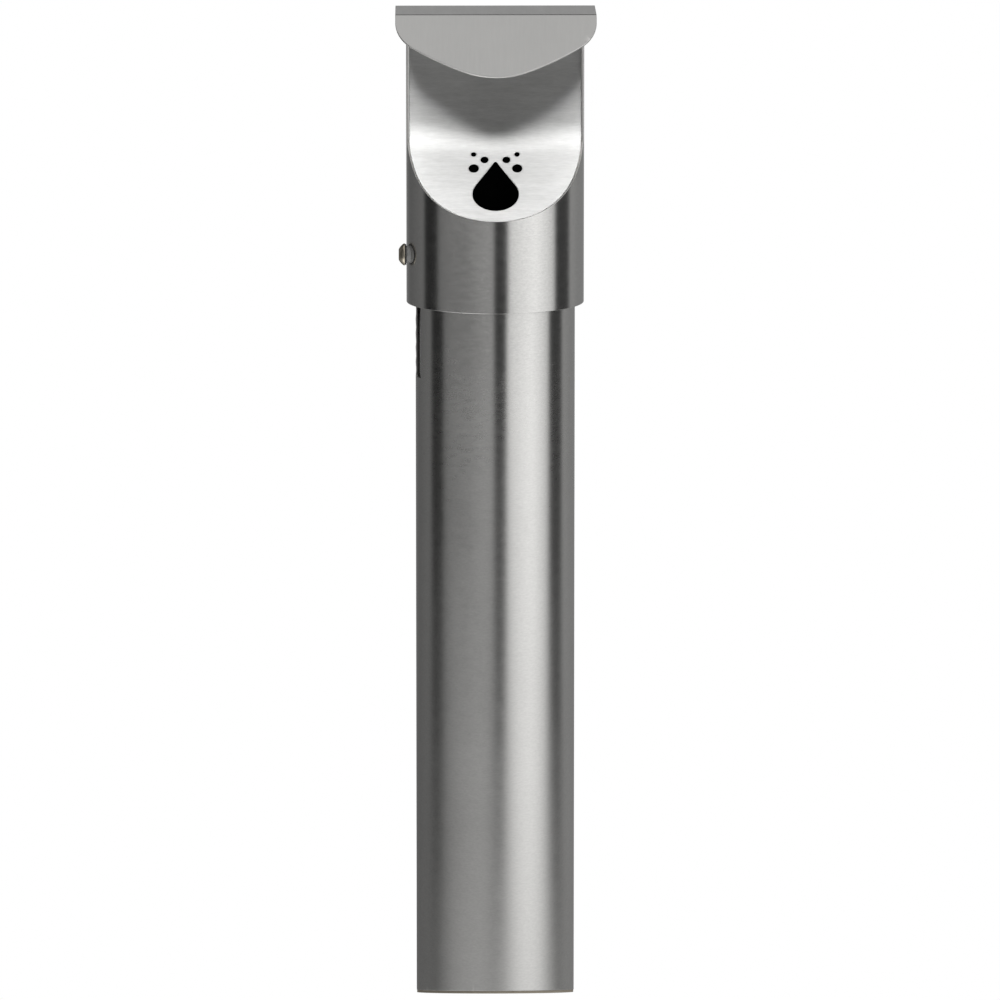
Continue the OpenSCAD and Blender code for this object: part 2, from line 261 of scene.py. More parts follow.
def sheet(name, surface, outline, holes=(), *, thickness, edge, grid, rows=()):
    """Sheet-metal piece: two faces and a rounded rim round the outline and every hole.

    edge is the rim's radius, grid the face's (u, v) spacing, rows extra v values in it.
    The "edge" attribute runs from 0 on the faces to 1 at the middle of the rim.
    """
    loops = [wound(outline, True)] + [wound(hole, False) for hole in holes]
    inward = [mitre(loop) for loop in loops]
    flat, tris = flat_face(loops, inward, edge, grid, rows)
    points, normals, along_u, along_v = surface(flat)
    flipped = float((np.cross(along_u, along_v) * normals).sum(1).mean()) < 0
    count = len(flat)
    all_points = [points, points - normals * thickness]
    all_normals = [normals, -normals]
    wear = [np.zeros(count), np.zeros(count)]
    faces = [tuple(t) for t in tris] + [tuple(t[::-1] + count) for t in tris]

    rim_angles = (25, 50, 75, 90)
    steps = [(rad(a), 1) for a in rim_angles] + [(rad(a), -1) for a in rim_angles[::-1]]
    start, base = 0, 2 * count
    for loop, move in zip(loops, inward):
        n = len(loop)
        rings = [np.arange(start, start + n)]
        out = -move / np.linalg.norm(move, axis=1)[:, None]
        for angle, side in steps:
            p, normal, u, v = surface(loop + move * edge * (1 - math.sin(angle)))
            sunk = edge * (1 - math.cos(angle))
            all_points.append(p - normal * (sunk if side > 0 else thickness - sunk))
            outward = u * out[:, :1] + v * out[:, 1:]
            all_normals.append(normal * math.cos(angle) * side + outward * math.sin(angle))
            wear.append(np.full(n, math.sin(angle)))
            rings.append(np.arange(base, base + n))
            base += n
        rings.append(rings[0] + count)
        for r0, r1 in zip(rings[:-1], rings[1:]):
            for i in range(n):
                j = (i + 1) % n
                faces.append((r0[i], r1[i], r1[j], r0[j]))
        start += n
    if flipped:
        faces = [f[::-1] for f in faces]

    mesh = bpy.data.meshes.new(name)
    mesh.from_pydata([tuple(p) for p in np.concatenate(all_points) * MM], [],
                     [tuple(int(i) for i in f) for f in faces])
    mesh.polygons.foreach_set("use_smooth", [True] * len(mesh.polygons))
    attribute = mesh.attributes.new("edge", "FLOAT", "POINT")
    attribute.data.foreach_set("value", np.concatenate(wear).astype(np.float32))
    mesh.update()
    normals = np.concatenate(all_normals)
    normals = normals / np.maximum(np.linalg.norm(normals, axis=1), 1e-9)[:, None]
    mesh.normals_split_custom_set_from_vertices([tuple(n) for n in normals])
    return linked(name, mesh)


TURN_COUNT = 96                  # points round a turned piece
TURN_ANGLES = np.arange(TURN_COUNT) * 2 * math.pi / TURN_COUNT


def turned(name, rows):
    """Piece turned about the bolt's axis.

    Rows are (radius, distance from the middle plane), each one number or one per angle.
    A piece that starts at radius 0 also ends there; any other closes on itself as a ring.
    """
    points, rings = [], []
    for radius, out in rows:
        at_axis = np.isscalar(radius) and radius == 0
        n = 1 if at_axis else TURN_COUNT
        radii, outs = np.broadcast_to(radius, (n,)), np.broadcast_to(out, (n,))
        rings.append([len(points)] * TURN_COUNT if at_axis
                     else list(range(len(points), len(points) + n)))
        points += [(-o, BOLT_Y + r * math.sin(a), BOLT_HEIGHT - ORIGIN_HEIGHT + r * math.cos(a))
                   for r, o, a in zip(radii, outs, TURN_ANGLES)]
    if rings[0][0] != rings[0][1]:
        rings.append(rings[0])
    faces = []
    for r0, r1 in zip(rings[:-1], rings[1:]):
        for i in range(TURN_COUNT):
            j = (i + 1) % TURN_COUNT
            face = list(dict.fromkeys((r0[i], r0[j], r1[j], r1[i])))
            if len(face) > 2:
                faces.append(tuple(face))
    mesh = bpy.data.meshes.new(name)
    mesh.from_pydata([tuple(c * MM for c in p) for p in points], [], faces)
    bm = bmesh.new()
    bm.from_mesh(mesh)
    bmesh.ops.recalc_face_normals(bm, faces=bm.faces)
    bm.to_mesh(mesh)
    bm.free()
    mesh.polygons.foreach_set("use_smooth", [True] * len(mesh.polygons))
    mesh.set_sharp_from_angle(angle=rad(32))
    mesh.update()
    return linked(name, mesh)


# ------------------------------------------------------------------ shader graphs
class Value:
    """A node output that adds Math nodes to its graph when used in arithmetic."""

    def __init__(self, graph, socket):
        self.graph, self.socket = graph, socket

    def math(self, operation, *others, clamp=False):
        return self.graph.math(operation, self, *others, clamp=clamp)

    def __add__(self, other):
        return self.math("ADD", other)

    def __sub__(self, other):
        return self.math("SUBTRACT", other)

    def __rsub__(self, other):
        return self.graph.math("SUBTRACT", other, self)

    def __mul__(self, other):
        return self.math("MULTIPLY", other)

    def ramp(self, start, end, kind="LINEAR"):
        """0 at start, 1 at end."""
        return self.graph.value("ShaderNodeMapRange", 0, {0: self, 1: start, 2: end},
                                interpolation_type=kind)

    def fade(self, start, end):
        """Ramp with soft ends."""
        return self.ramp(start, end, "SMOOTHSTEP")


class Graph:
    """Emptied node tree of a material or world, with its output node."""

    def __init__(self, owner, output_kind="ShaderNodeOutputMaterial"):
        owner.use_nodes = True
        self.tree = owner.node_tree
        self.tree.nodes.clear()
        self.output = self.node(output_kind)

    def feed(self, socket, source):
        """Link the socket to a Value or another socket, or set it to a constant."""
        if isinstance(source, Value):
            source = source.socket
        if isinstance(source, bpy.types.NodeSocket):
            self.tree.links.new(source, socket)
        else:
            socket.default_value = source

    def node(self, kind, inputs=(), **attributes):
        node = self.tree.nodes.new(kind)
        for name, value in attributes.items():
            setattr(node, name, value)
        for key, source in dict(inputs).items():
            self.feed(node.inputs[key], source)
        return node

    def value(self, kind, output, inputs=(), **attributes):
        return Value(self, self.node(kind, inputs, **attributes).outputs[output])

    def math(self, operation, *values, clamp=False):
        return self.value("ShaderNodeMath", 0, enumerate(values), operation=operation,
                          use_clamp=clamp)

    def axes(self, vector):
        return [Value(self, out) for out in self.node("ShaderNodeSeparateXYZ", {0: vector}).outputs]

    def noise(self, coords, scale, detail, roughness):
        """Noise about zero would need 0.5 taken off: see sway."""
        mapped = self.value("ShaderNodeMapping", 0, {"Scale": scale, "Vector": coords})
        return self.value("ShaderNodeTexNoise", "Fac", {
            "Scale": 1.0, "Detail": detail, "Roughness": roughness, "Vector": mapped})

    def edge_mask(self):
        """1 on edges, lightened as wear and, on the snuffing plate, also as a painted highlight:
        the rim of built sheets, or convex corners of other pieces.
        """
        rim = self.value("ShaderNodeAttribute", "Fac", attribute_name="edge")
        corner = self.value("ShaderNodeNewGeometry", "Pointiness").ramp(start=0.53, end=0.62)
        return rim.math("MAXIMUM", corner, clamp=True)

    def tinted(self, color, factor):
        """The color times a scalar Value."""
        return self.value("ShaderNodeVectorMath", 0, {0: color, "Scale": factor},
                          operation="SCALE")

    def bump(self, height, strength, distance):
        return self.value("ShaderNodeBump", 0, {
            "Strength": strength, "Distance": distance, "Height": height})


def sway(noise, amount):
    """Noise centred on zero and scaled."""
    return (noise - 0.5) * amount


# ------------------------------------------------------------------ materials
def surface_graph(name):
    """New material: itself, its graph, its Principled node and its object coordinates."""
    material = bpy.data.materials.new(name)
    graph = Graph(material)
    shader = graph.node("ShaderNodeBsdfPrincipled")
    graph.feed(graph.output.inputs["Surface"], shader.outputs["BSDF"])
    return material, graph, shader, graph.value("ShaderNodeTexCoord", "Object")


# brushing: noise scale along each axis, share of the coarser grain, tangent
GRAINS = {
    "level": ((460.0, 460.0, 1120.0), 0.4, (0, 0, 1)),
    "front": ((1120.0, 90.0, 90.0), 0.9, (1, 0, 0)),
    "plate": ((190.0, 1120.0, 1120.0), 0.9, (0, 0, 1)),
    "none": ((900.0, 900.0, 900.0), 0.9, (0, 0, 1)),
}


def inner_shade_mask(graph, coords, blotches, radius):
    """Painted shade inside the head, behind the snuffing plate: where the inner faces are darkened,
    with a blotchy lower edge.
    """
    plate_face, wall_gap = 0.18284, -0.0009
    x, y, z = graph.axes(coords)
    dy, dz = y + -ARC_Y * MM, z - (ARC_HEIGHT - ORIGIN_HEIGHT) * MM
    from_arc = (dy * dy + dz * dz).math("SQRT")
    from_axis = (x * x + y * y).math("SQRT")
    mask = from_arc.math("GREATER_THAN", plate_face) * from_axis.math("LESS_THAN", radius)
    mask = mask * y.math("LESS_THAN", wall_gap)
    return mask * (z + sway(blotches, 0.05)).fade(start=-0.09, end=-0.04)


def steel(name, *, color=(0.66, 0.655, 0.64), rough, aniso=0.0, grain="none",
          grain_contrast=0.10, blotch_contrast=0.08, blotch_scale=12.0, bump=0.25,
          edge_wear_and_highlight=0.25, metallic=1.0, haze=0.0, shade_radius=0.0):
    """Brushed or plain steel. haze dulls it downwards; the shade radius, in metres, bounds the
    painted shade darkened into the inner faces inside the head.
    """
    rough_sway = 0.08
    material, graph, shader, coords = surface_graph(name)
    scale, coarse_share, tangent = GRAINS[grain]
    fine = graph.noise(coords, scale, detail=3.0, roughness=0.6)
    coarse = graph.noise(coords, tuple(s * 0.31 for s in scale), detail=2.0, roughness=0.5)
    blotches = graph.noise(coords, (blotch_scale,) * 3, detail=4.0, roughness=0.55)
    edge = graph.edge_mask()

    tint = sway(fine, grain_contrast) + sway(coarse, grain_contrast * coarse_share)
    tint = tint + sway(blotches, blotch_contrast)
    # edges lightened: edge wear, and with the large gain on the snuffing plate also a painted
    # highlight along its rims
    tint = tint + edge * edge_wear_and_highlight + 1.0
    # painted shade: inner faces inside the head are darkened almost to black
    if shade_radius:
        inner_shade = inner_shade_mask(graph, coords, blotches, shade_radius)
        tint = tint * (1.0 - inner_shade * 0.975)
    graph.feed(shader.inputs["Base Color"], graph.tinted(color, tint))

    roughness = sway(coarse, rough_sway) + rough
    # the painted shade inside the head is also made rougher
    if shade_radius:
        roughness = roughness + inner_shade * 0.4
    roughness = roughness + sway(blotches, rough_sway)
    roughness = roughness + edge * 0.08
    stretch = (1.0 - edge) * aniso
    if haze:
        height = graph.axes(coords)[2]
        low = height.ramp(start=-0.05, end=-0.52).math("POWER", 1.4)
        roughness = roughness + low * haze
        stretch = stretch.math("SUBTRACT", low * (haze * 1.6), clamp=True)
    direction = graph.value("ShaderNodeCombineXYZ", 0, enumerate(tangent))
    for key, source in (("Roughness", roughness), ("Anisotropic", stretch),
                        ("Metallic", metallic), ("Tangent", direction),
                        ("Normal", graph.bump(fine + coarse, bump, distance=0.00002))):
        graph.feed(shader.inputs[key], source)
    return material


def plastic(name, *, color, rough, bump=0.35):
    """Finely grained plastic or rubber, paler on its edges."""
    material, graph, shader, coords = surface_graph(name)
    fine = graph.noise(coords, (1400.0,) * 3, detail=4.0, roughness=0.6)
    broad = graph.noise(coords, (60.0,) * 3, detail=3.0, roughness=0.5)
    edge = graph.edge_mask()
    tint = sway(fine, 0.3) + sway(broad, 0.35) + 1.0 + edge * 0.5
    graph.feed(shader.inputs["Base Color"], graph.tinted(color, tint))
    graph.feed(shader.inputs["Roughness"], sway(broad, 0.2) + rough)
    graph.feed(shader.inputs["Normal"], graph.bump(fine, bump, distance=0.00006))
    return material


# the radius arguments below, in metres, bound the painted shade darkened into the inner faces
CANISTER_STEEL = steel("brushed_canister", rough=0.25, aniso=0.86, grain="level",
                       grain_contrast=0.27, blotch_contrast=0.16, haze=0.27,
                       shade_radius=0.0503)
SLEEVE_STEEL = steel("brushed_sleeve", rough=0.24, aniso=0.88, grain="level",
                     grain_contrast=0.27, blotch_contrast=0.16, shade_radius=0.0555)
# the snuffing plate's edges are lightened strongly: edge wear plus a painted highlight along its
# rims
CHUTE_STEEL = steel("brushed_chute", color=(0.52, 0.52, 0.515), rough=0.50, aniso=0.82,
                    grain="plate", grain_contrast=0.32, blotch_contrast=0.20, bump=0.5,
                    edge_wear_and_highlight=0.7, shade_radius=0.056)
HOOD_STEEL = steel("brushed_hood", rough=0.34, aniso=0.75, grain="front",
                   grain_contrast=0.07, blotch_contrast=0.12, blotch_scale=30.0)
SEAT_STEEL = steel("satin_seat", color=(0.40, 0.40, 0.395), rough=0.55, metallic=0.3)
PLATE_STEEL = steel("mill_plate", color=(0.56, 0.56, 0.555), rough=0.40, aniso=0.4,
                    grain="level", shade_radius=0.0552)
FITTING_ZINC = steel("zinc_fittings", color=(0.60, 0.60, 0.58), rough=0.36)
BOLT_STEEL = steel("bolt_head", color=(0.62, 0.565, 0.46), rough=0.30, edge_wear_and_highlight=0.35)
NYLON = plastic("black_nylon", color=(0.018, 0.018, 0.019), rough=0.45)
PAD = plastic("grey_beige_pad", color=(0.33, 0.29, 0.23), rough=0.6)
RUBBER = plastic("black_rubber", color=(0.022, 0.022, 0.022), rough=0.75, bump=0.6)


# ------------------------------------------------------------------ sheet pieces
def install(obj, body, node, material):
    """Give the piece its material and put it in place of a CAD node."""
    obj.data.materials.append(material)
    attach(obj, body)
    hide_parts(node)


def build_hood():
    """Flat top, 45 degree bend and drooping visor; v runs forward from the wall."""
    half_width, depth, bend_radius = 62.9, 50.0, 3.0
    bend = bend_radius * rad(45)
    visor = depth + bend                         # v where the visor starts
    straight = 4.5                               # straight side of the visor
    corner_radius, flank_radius = 25.0, 170.0
    corner_end, flank_end = rad(37), rad(24)     # angles where those arcs stop
    path = Path((0.0, HOOD_TOP), rad(180),
                [(depth, 0.0), (bend, 1 / bend_radius), (60.0, 0.0)])

    # three tangent arcs: corner, flank, and a nose centred on u = 0
    corner_u = half_width - corner_radius
    joint_u, joint_v = bow(corner_u, straight, corner_radius, [corner_end])[0]
    flank_u = joint_u - flank_radius * math.sin(corner_end)
    flank_v = joint_v - flank_radius * math.cos(corner_end)
    joint_u, joint_v = bow(flank_u, flank_v, flank_radius, [flank_end])[0]
    nose_radius = joint_u / math.sin(flank_end)
    nose_v = joint_v - nose_radius * math.cos(flank_end)

    bend_rows = [depth + bend * i / 8 for i in range(9)]
    right = line((half_width, 0.0), (half_width, depth), 2.5)
    right += [(half_width, v) for v in bend_rows]
    right += line((half_width, visor), (half_width, visor + straight), 1.8)[1:]
    right += bow(corner_u, visor + straight, corner_radius,
                 np.linspace(rad(90), corner_end, 28)[:-1])
    right += bow(flank_u, visor + flank_v, flank_radius,
                 np.linspace(corner_end, flank_end, 26)[:-1])
    right += bow(0.0, visor + nose_v, nose_radius, np.linspace(flank_end, 0, 17))
    hood = sheet("hood_sheet", crosswise(path), right + mirrored(right)[1:],
                 thickness=HEAD_SHEET, edge=0.35, grid=(3.2, 3.2), rows=bend_rows)
    install(hood, "head", "canopy", HOOD_STEEL)


def build_head_shell():
    """Half-round sleeve with a concave front cut, its flanks reaching up to the hood."""
    width = 2 * (math.pi * HEAD_RADIUS / 2)
    flank = math.acos(7.0 / HEAD_RADIUS)         # the flanks' front edges are at y = -7
    bore_radius = 4.05
    path = Path((-HEAD_RADIUS, 0.0), rad(-90), [(math.pi * HEAD_RADIUS, 1 / HEAD_RADIUS)])

    def u_at(theta):
        """u at an angle from the front, positive to the right."""
        return math.pi * HEAD_RADIUS / 2 + HEAD_RADIUS * theta

    def cut_height(theta):
        y = -HEAD_RADIUS * math.cos(theta)
        return ARC_HEIGHT - math.sqrt(CUT_RADIUS ** 2 - (y - ARC_Y) ** 2)

    cut = [(u_at(theta), cut_height(theta)) for theta in np.linspace(flank, -flank, 121)]
    right_top, left_top = (u_at(flank), HEAD_TOP), (u_at(-flank), HEAD_TOP)
    outline = line((0.0, HEAD_FOOT), (width, HEAD_FOOT), 2.0)
    outline += line((width, HEAD_FOOT), (width, HEAD_TOP), 4)
    outline += line((width, HEAD_TOP), right_top, 2) + line(right_top, cut[0], 4)
    outline += cut + line(cut[-1], left_top, 4)[1:]
    outline += line(left_top, (0.0, HEAD_TOP), 2) + line((0.0, HEAD_TOP), (0.0, HEAD_FOOT), 4)
    bore = [(u_at(-math.acos((-BOLT_Y - du) / HEAD_RADIUS)), BOLT_HEIGHT + dv)
            for du, dv in circle(0, 0, bore_radius, 40)]
    shell = sheet("sleeve_sheet", upright(path), outline, [bore],
                  thickness=HEAD_SHEET, edge=0.3, grid=(2.0, 5.0))
    install(shell, "head", "head_shell", SLEEVE_STEEL)


def drop_outline():
    """Drop-shaped hole: a large arc below and a small tip above, joined by tangents."""
    centre, radius, reach, tip_radius = 27.5, 14.5, 25.7, 1.0    # reach: centre to tip
    lean = math.asin((radius - tip_radius) / (reach - tip_radius))
    bowl = arc(0, centre, radius, np.linspace(math.pi - lean, 2 * math.pi + lean, 76))
    tip = arc(0, centre + reach - tip_radius, tip_radius,
              np.linspace(lean, math.pi - lean, 10))
    return bowl + line(bowl[-1], tip[0], 0.9)[1:] + tip + line(tip[-1], bowl[0], 0.9)[1:]


def build_snuffing_plate():
    """Concave plate with an upright flange at the wall; v runs from the front lip up."""
    gap = 0.05                                   # to the head shell's inner face
    flange_y, flange_top, bend_radius, corner = -3.55, 634.0, 30.0, 2
    inner = HEAD_RADIUS - HEAD_SHEET - gap
    lip = math.acos((-ARC_Y - (HEAD_RADIUS - HEAD_SHEET) + gap) / PLATE_RADIUS)
    bend_y = flange_y - bend_radius
    drop = math.sqrt((PLATE_RADIUS - bend_radius) ** 2 - (bend_y - ARC_Y) ** 2)
    arc_end = math.atan2(drop, bend_y - ARC_Y)
    flange_foot = ARC_HEIGHT - drop
    arc_length = PLATE_RADIUS * (lip - arc_end)
    bend_length = bend_radius * arc_end
    flange_length = flange_top - flange_foot
    start = (ARC_Y + PLATE_RADIUS * math.cos(lip), ARC_HEIGHT - PLATE_RADIUS * math.sin(lip))
    path = Path(start, math.pi / 2 - lip,
                [(arc_length, 1 / PLATE_RADIUS), (bend_length, 1 / bend_radius),
                 (flange_length, 0.0)], side=1)

    # right half: follow the inside of the shell, then rise straight with the flange
    right = []
    end_y = ARC_Y + PLATE_RADIUS * math.cos(arc_end)
    for theta in np.linspace(0, math.acos(-end_y / inner), 70):
        y = -inner * math.cos(theta)
        angle = math.acos((y - ARC_Y) / PLATE_RADIUS)
        right.append((inner * math.sin(theta), PLATE_RADIUS * (lip - angle)))
    bend_rows = [arc_length + bend_length * i / 16 for i in range(17)]
    bend_ys = path(bend_rows)[0][:, 0]
    right += [(math.sqrt(inner ** 2 - y * y), v) for y, v in zip(bend_ys[1:], bend_rows[1:])]
    side = right[-1][0]
    flange_start = arc_length + bend_length
    top = flange_start + flange_length
    right += line((side, bend_rows[-1]), (side, top - corner), 3)[1:]
    right += arc(side - corner, top - corner, corner, np.linspace(0, math.pi / 2, 6))
    left = mirrored(right)
    outline = right + line(right[-1], left[0], 2.5)[1:] + left[:-1]

    dots = ((13.7, 58.8, 1.65), (6.9, 54.7, 2.45), (13.7, 48.2, 3.2))    # u, v, radius
    holes = [drop_outline()]
    holes += [circle(s * u, v, radius, 36) for s in (-1, 1) for u, v, radius in dots]
    screw_v = flange_start + (SCREW_HIGH - flange_foot)
    holes += [circle(s * SCREW_X, screw_v, 6.0, 40) for s in (-1, 1)]
    plate = sheet("snuffing_plate", crosswise(path), outline, holes,
                  thickness=HEAD_SHEET, edge=0.35, grid=(2.2, 2.2), rows=bend_rows)
    install(plate, "head", "chute_plate", CHUTE_STEEL)
    return plate


def build_wall_plate():
    """Plate on the wall with a tongue below it and four fixing holes."""
    thickness, half_width, tongue, tongue_foot = 2.0, HEAD_RADIUS - 1.6, 38.0, 396
    corners = [(-half_width, HEAD_FOOT, 1.0), (-tongue, HEAD_FOOT, 1.5),
               (-tongue, tongue_foot, 8), (tongue, tongue_foot, 8),
               (tongue, HEAD_FOOT, 1.5), (half_width, HEAD_FOOT, 1.0),
               (half_width, HEAD_TOP, 1.0), (-half_width, HEAD_TOP, 1.0)]
    holes = [circle(s * SCREW_X, height, 3.25, 36)
             for s in (-1, 1) for height in (SCREW_LOW, SCREW_HIGH)]
    wall = sheet("back_plate", flat_front(-thickness), rounded(corners, 3.0), holes,
                 thickness=thickness, edge=0.3, grid=(6, 8))
    install(wall, "head", "wall_plate", PLATE_STEEL)


def build_canister():
    """Rolled half round with turned-in rear flanges, an open slot on the left, sloping foot."""
    radius, bend_radius, rear_y, flange_x = 50.8, 2.4, -2.5, 39.0
    rim, slot_foot, slot_half, slot_corner = 494.0, 403.0, 5.2, 1.2
    foot_slope, foot_rear = math.tan(rad(12.3)), 1.66
    sweep = math.acos((-rear_y + bend_radius) / (radius - bend_radius))
    turn = math.pi - sweep                       # turned by each rear bend
    flange = (radius - bend_radius) * math.sin(sweep) - flange_x
    rear_bend = (bend_radius * turn, 1 / bend_radius)
    path = Path((-flange_x, rear_y), rad(-180),
                [(flange, 0.0), rear_bend, (2 * radius * sweep, 1 / radius), rear_bend,
                 (flange, 0.0)])
    end = path.length

    def foot(u):
        return foot_slope * (-path([u])[0][0, 1] + rear_y) + foot_rear

    def u_left(y):
        return end / 2 - radius * math.acos(-y / radius)

    stations = set(np.linspace(0, end, 121)) | set(path.knots[1:-1])
    for knot in (path.knots[1], path.knots[3]):
        stations |= {knot + i * bend_radius * turn / 8 for i in range(1, 8)}
    stations = sorted(stations)
    stations = stations[:1] + [u for before, u in zip(stations, stations[1:])
                               if u - before > 0.12]

    rear, front = u_left(BOLT_Y + slot_half), u_left(BOLT_Y - slot_half)
    corner_v = slot_foot + slot_corner
    quarter = np.linspace(0, math.pi / 2, 5)
    outline = [(u, foot(u)) for u in stations]
    outline += line((end, foot(end)), (end, rim), 6)[1:] + line((end, rim), (front, rim), 2)
    outline += line((front, rim), (front, corner_v), 3)
    outline += arc(front - slot_corner, corner_v, slot_corner, -quarter)
    outline += line((front - slot_corner, slot_foot), (rear + slot_corner, slot_foot), 2)[1:]
    outline += [(rear + slot_corner - slot_corner * math.sin(a),
                 corner_v - slot_corner * math.cos(a)) for a in quarter]
    outline += line((rear, corner_v), (rear, rim), 3)[1:] + line((rear, rim), (0.0, rim), 2)
    outline += line((0.0, rim), (0.0, foot(0)), 6)
    canister = sheet("canister_sheet", upright(path), outline,
                     thickness=1.2, edge=0.3, grid=(1.6, 9.0))
    install(canister, "canister", "canister_shell", CANISTER_STEEL)


build_hood()
build_head_shell()
snuffing_plate = build_snuffing_plate()
build_wall_plate()
build_canister()

# ------------------------------------------------------------------ turned pieces on the left
BOLT_FACE = 57.2                 # inner face of the bolt head, from the middle plane
SEAT_FACE = BOLT_FACE - 0.8      # outer face of the seat; the washer fills the 0.8
RING_BORE = 4.06


def hexagon(corner_radius):
    """Radius of a hexagon at each of the turning angles."""
    return corner_radius * math.cos(rad(30)) / np.cos((TURN_ANGLES % rad(60)) - rad(30))


def build_bolt():
    """Button head with a hexagon socket and centre pin, ring groove and threaded shank."""
    # radius, distance outside the head's inner face
    pin_and_socket = [
        (0, 3.6), (0.82, 3.6), (1.02, 3.53), (1.1, 3.35), (1.1, 1.66), (1.16, 1.6),
        (hexagon(2.82), 1.6), (hexagon(2.9), 1.68), (hexagon(2.9), 3.7),
        (hexagon(2.94), 3.86), (hexagon(3.02), 3.98), (3.22, 3.97)]
    dome_radius, dome_centre = 8.2, -3.57
    dome = [(r, dome_centre + math.sqrt(dome_radius ** 2 - r * r))
            for r in np.linspace(3.6, 6.85, 11)]
    underside = [(6.97, 0.62), (7.0, 0.45), (7.0, 0.2), (6.94, 0.06), (6.78, 0), (4.06, 0),
                 (4.0, -0.1)]
    rows = [(r, BOLT_FACE + out) for r, out in pin_and_socket + dome + underside]
    # ring groove, by distance from the middle plane
    rows += [(4.0, 51.45), (3.95, 51.4), (3.3, 51.4), (3.3, 50.8), (3.95, 50.8), (4.0, 50.75),
             (4.0, 49.6)]
    crest, root, pitch = 3.98, 3.4, 1.25
    for out in np.arange(49.4, 37.9, -pitch):
        rows += [(crest, out), (crest, out - 0.16), (root, out - 0.55), (root, out - 0.7)]
    rows += [(crest, 37.3), (crest, 36.9), (3.3, 36.05), (3.2, 36.0), (0, 36.0)]
    install(turned("lock_bolt_turned", rows), "bolt", "lock_bolt", BOLT_STEEL)


def build_seat():
    """Saddle seat between the round sleeve and the flat washer."""
    def saddle(r):
        y = BOLT_Y + r * np.sin(TURN_ANGLES)
        return np.sqrt((HEAD_RADIUS + 0.04) ** 2 - y * y)

    rows = [(RING_BORE, saddle(RING_BORE) + 0.1), (RING_BORE, SEAT_FACE - 0.1),
            (4.14, SEAT_FACE), (5.4, SEAT_FACE), (5.54, SEAT_FACE - 0.05),
            (5.6, SEAT_FACE - 0.16), (5.6, saddle(5.6) + 0.08), (5.54, saddle(5.54) + 0.02),
            (4.14, saddle(4.14) + 0.02)]
    install(turned("bolt_seat_ring", rows), "head", "bolt_seat", SEAT_STEEL)


def build_washer():
    """Flat black washer between the seat and the bolt head."""
    # radius, distance outside the seat's face
    profile = [(RING_BORE, 0.11), (RING_BORE, 0.69), (4.16, 0.79), (6.4, 0.79), (6.55, 0.73),
               (6.6, 0.6), (6.6, 0.2), (6.55, 0.07), (6.4, 0.01), (4.16, 0.01)]
    rows = [(r, SEAT_FACE + out) for r, out in profile]
    install(turned("flat_washer", rows), "head", "lock_washer", NYLON)


build_bolt()
build_seat()
build_washer()


# ------------------------------------------------------------------ CAD nodes kept as they are
def smooth_group():
    """Geometry nodes that shade smooth across edges of less than 30 degrees."""
    group = bpy.data.node_groups.new("smooth_by_angle_30", "GeometryNodeTree")
    for in_out in ("INPUT", "OUTPUT"):
        group.interface.new_socket("Geometry", in_out=in_out,
                                   socket_type="NodeSocketGeometry")
    new, link = group.nodes.new, group.links.new
    source, result = new("NodeGroupInput"), new("NodeGroupOutput")
    faces = new("GeometryNodeSetShadeSmooth")
    faces.domain = "FACE"
    edges = new("GeometryNodeSetShadeSmooth")
    edges.domain = "EDGE"
    angle = new("GeometryNodeInputMeshEdgeAngle")
    compare = new("FunctionNodeCompare")
    compare.data_type, compare.operation = "FLOAT", "LESS_THAN"
    compare.inputs["B"].default_value = rad(30)
    link(source.outputs[0], faces.inputs["Geometry"])
    link(faces.outputs[0], edges.inputs["Geometry"])
    link(angle.outputs["Unsigned Angle"], compare.inputs["A"])
    link(compare.outputs["Result"], edges.inputs["Shade Smooth"])
    link(edges.outputs[0], result.inputs[0])
    return group


# node, material, bevel width in mm
KEPT_NODES = (
    ("guide_strips", NYLON, 0.4), ("lock_block", NYLON, 0.4),
    ("bolt_clip", FITTING_ZINC, 0.08), ("clamp_saddle", FITTING_ZINC, 0.3),
    ("clamp_nut", FITTING_ZINC, 0.3), ("canister_back", PLATE_STEEL, 0.25),
    ("canister_floor", PLATE_STEEL, 0.25), ("base_pad", PAD, 0.35), ("back_pads", RUBBER, 0.4),
)
smoothing = smooth_group()
for node_name, material, bevel_width in KEPT_NODES:
    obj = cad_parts[node_name]
    obj.data.materials.clear()
    obj.data.materials.append(material)
    weld = obj.modifiers.new("weld", "WELD")
    weld.merge_threshold = 2e-6
    bevel = obj.modifiers.new("bevel", "BEVEL")
    bevel.width = bevel_width * MM
    bevel.segments = 3
    bevel.limit_method = "ANGLE"
    bevel.angle_limit = rad(30)
    bevel.use_clamp_overlap = True
    bevel.harden_normals = False
    obj.modifiers.new("smooth", "NODES").node_group = smoothing

# ------------------------------------------------------------------ studio, metres
# panels round the object: azimuth in degrees (0 in front, + to the right), brightness
PANELS = [
    (-180, 0.52), (-160, 0.20), (-145, 0.15), (-120, 0.20), (-109, 0.23), (-103, 0.02),
    (-84, 0.02), (-78, 0.21), (-40, 0.225), (-25, 0.30), (-12, 0.41), (-4, 0.47), (0, 0.04),
    (14, 0.04), (18.5, 1.04), (35, 1.28), (54, 1.5), (70, 1.22), (81, 0.95), (86.5, 0.06),
    (109, 0.06), (115, 0.44), (135, 0.34), (160, 0.3), (180, 0.52)]


